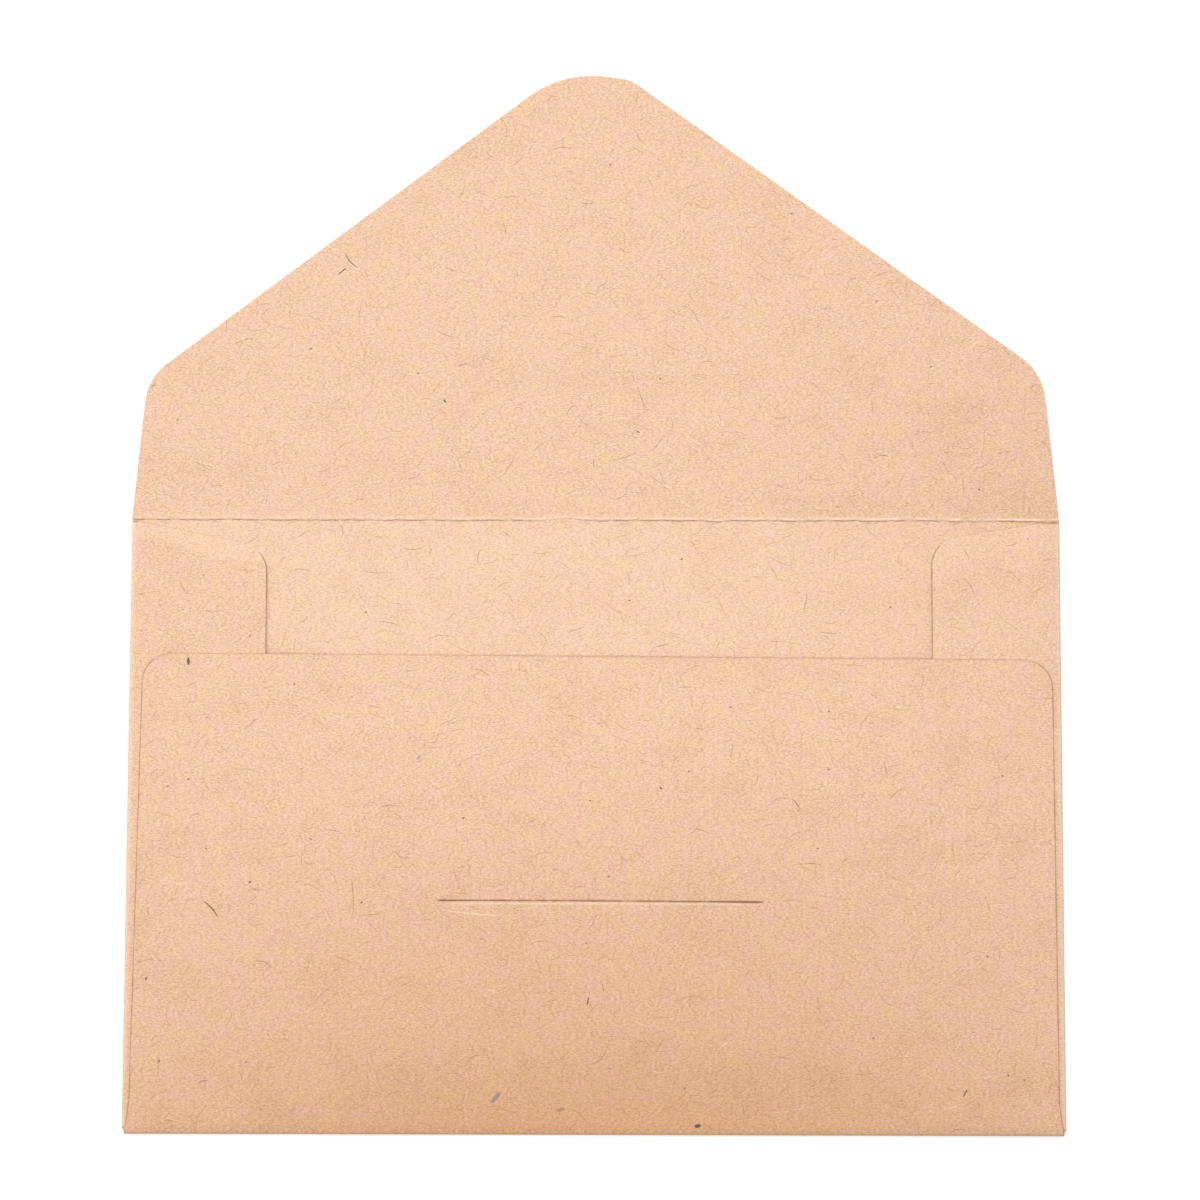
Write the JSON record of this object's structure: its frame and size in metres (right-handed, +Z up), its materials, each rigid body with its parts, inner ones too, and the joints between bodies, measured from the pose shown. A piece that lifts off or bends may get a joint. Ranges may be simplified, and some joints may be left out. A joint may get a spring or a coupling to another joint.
{
  "type": "paper envelope",
  "caption": "Kraft paper envelope folded from one sheet: pocket, side flaps, back panel with a tuck slit, and an open pointed flap.",
  "frame": {"origin": "middle of the bounding box, on the table plane under the front panel", "axes": "+X across the envelope to the right as it is seen from the back panel's side, +Y from the bottom fold towards the flap's tip, +Z up from the table"},
  "size_m": [0.16, 0.1824, 0.0042],
  "materials": {
    "kraft_paper": "matt, fibre-flecked"
  },
  "bodies": {
    "root": {"envelope": "kraft_paper"}
  },
  "joints": []
}
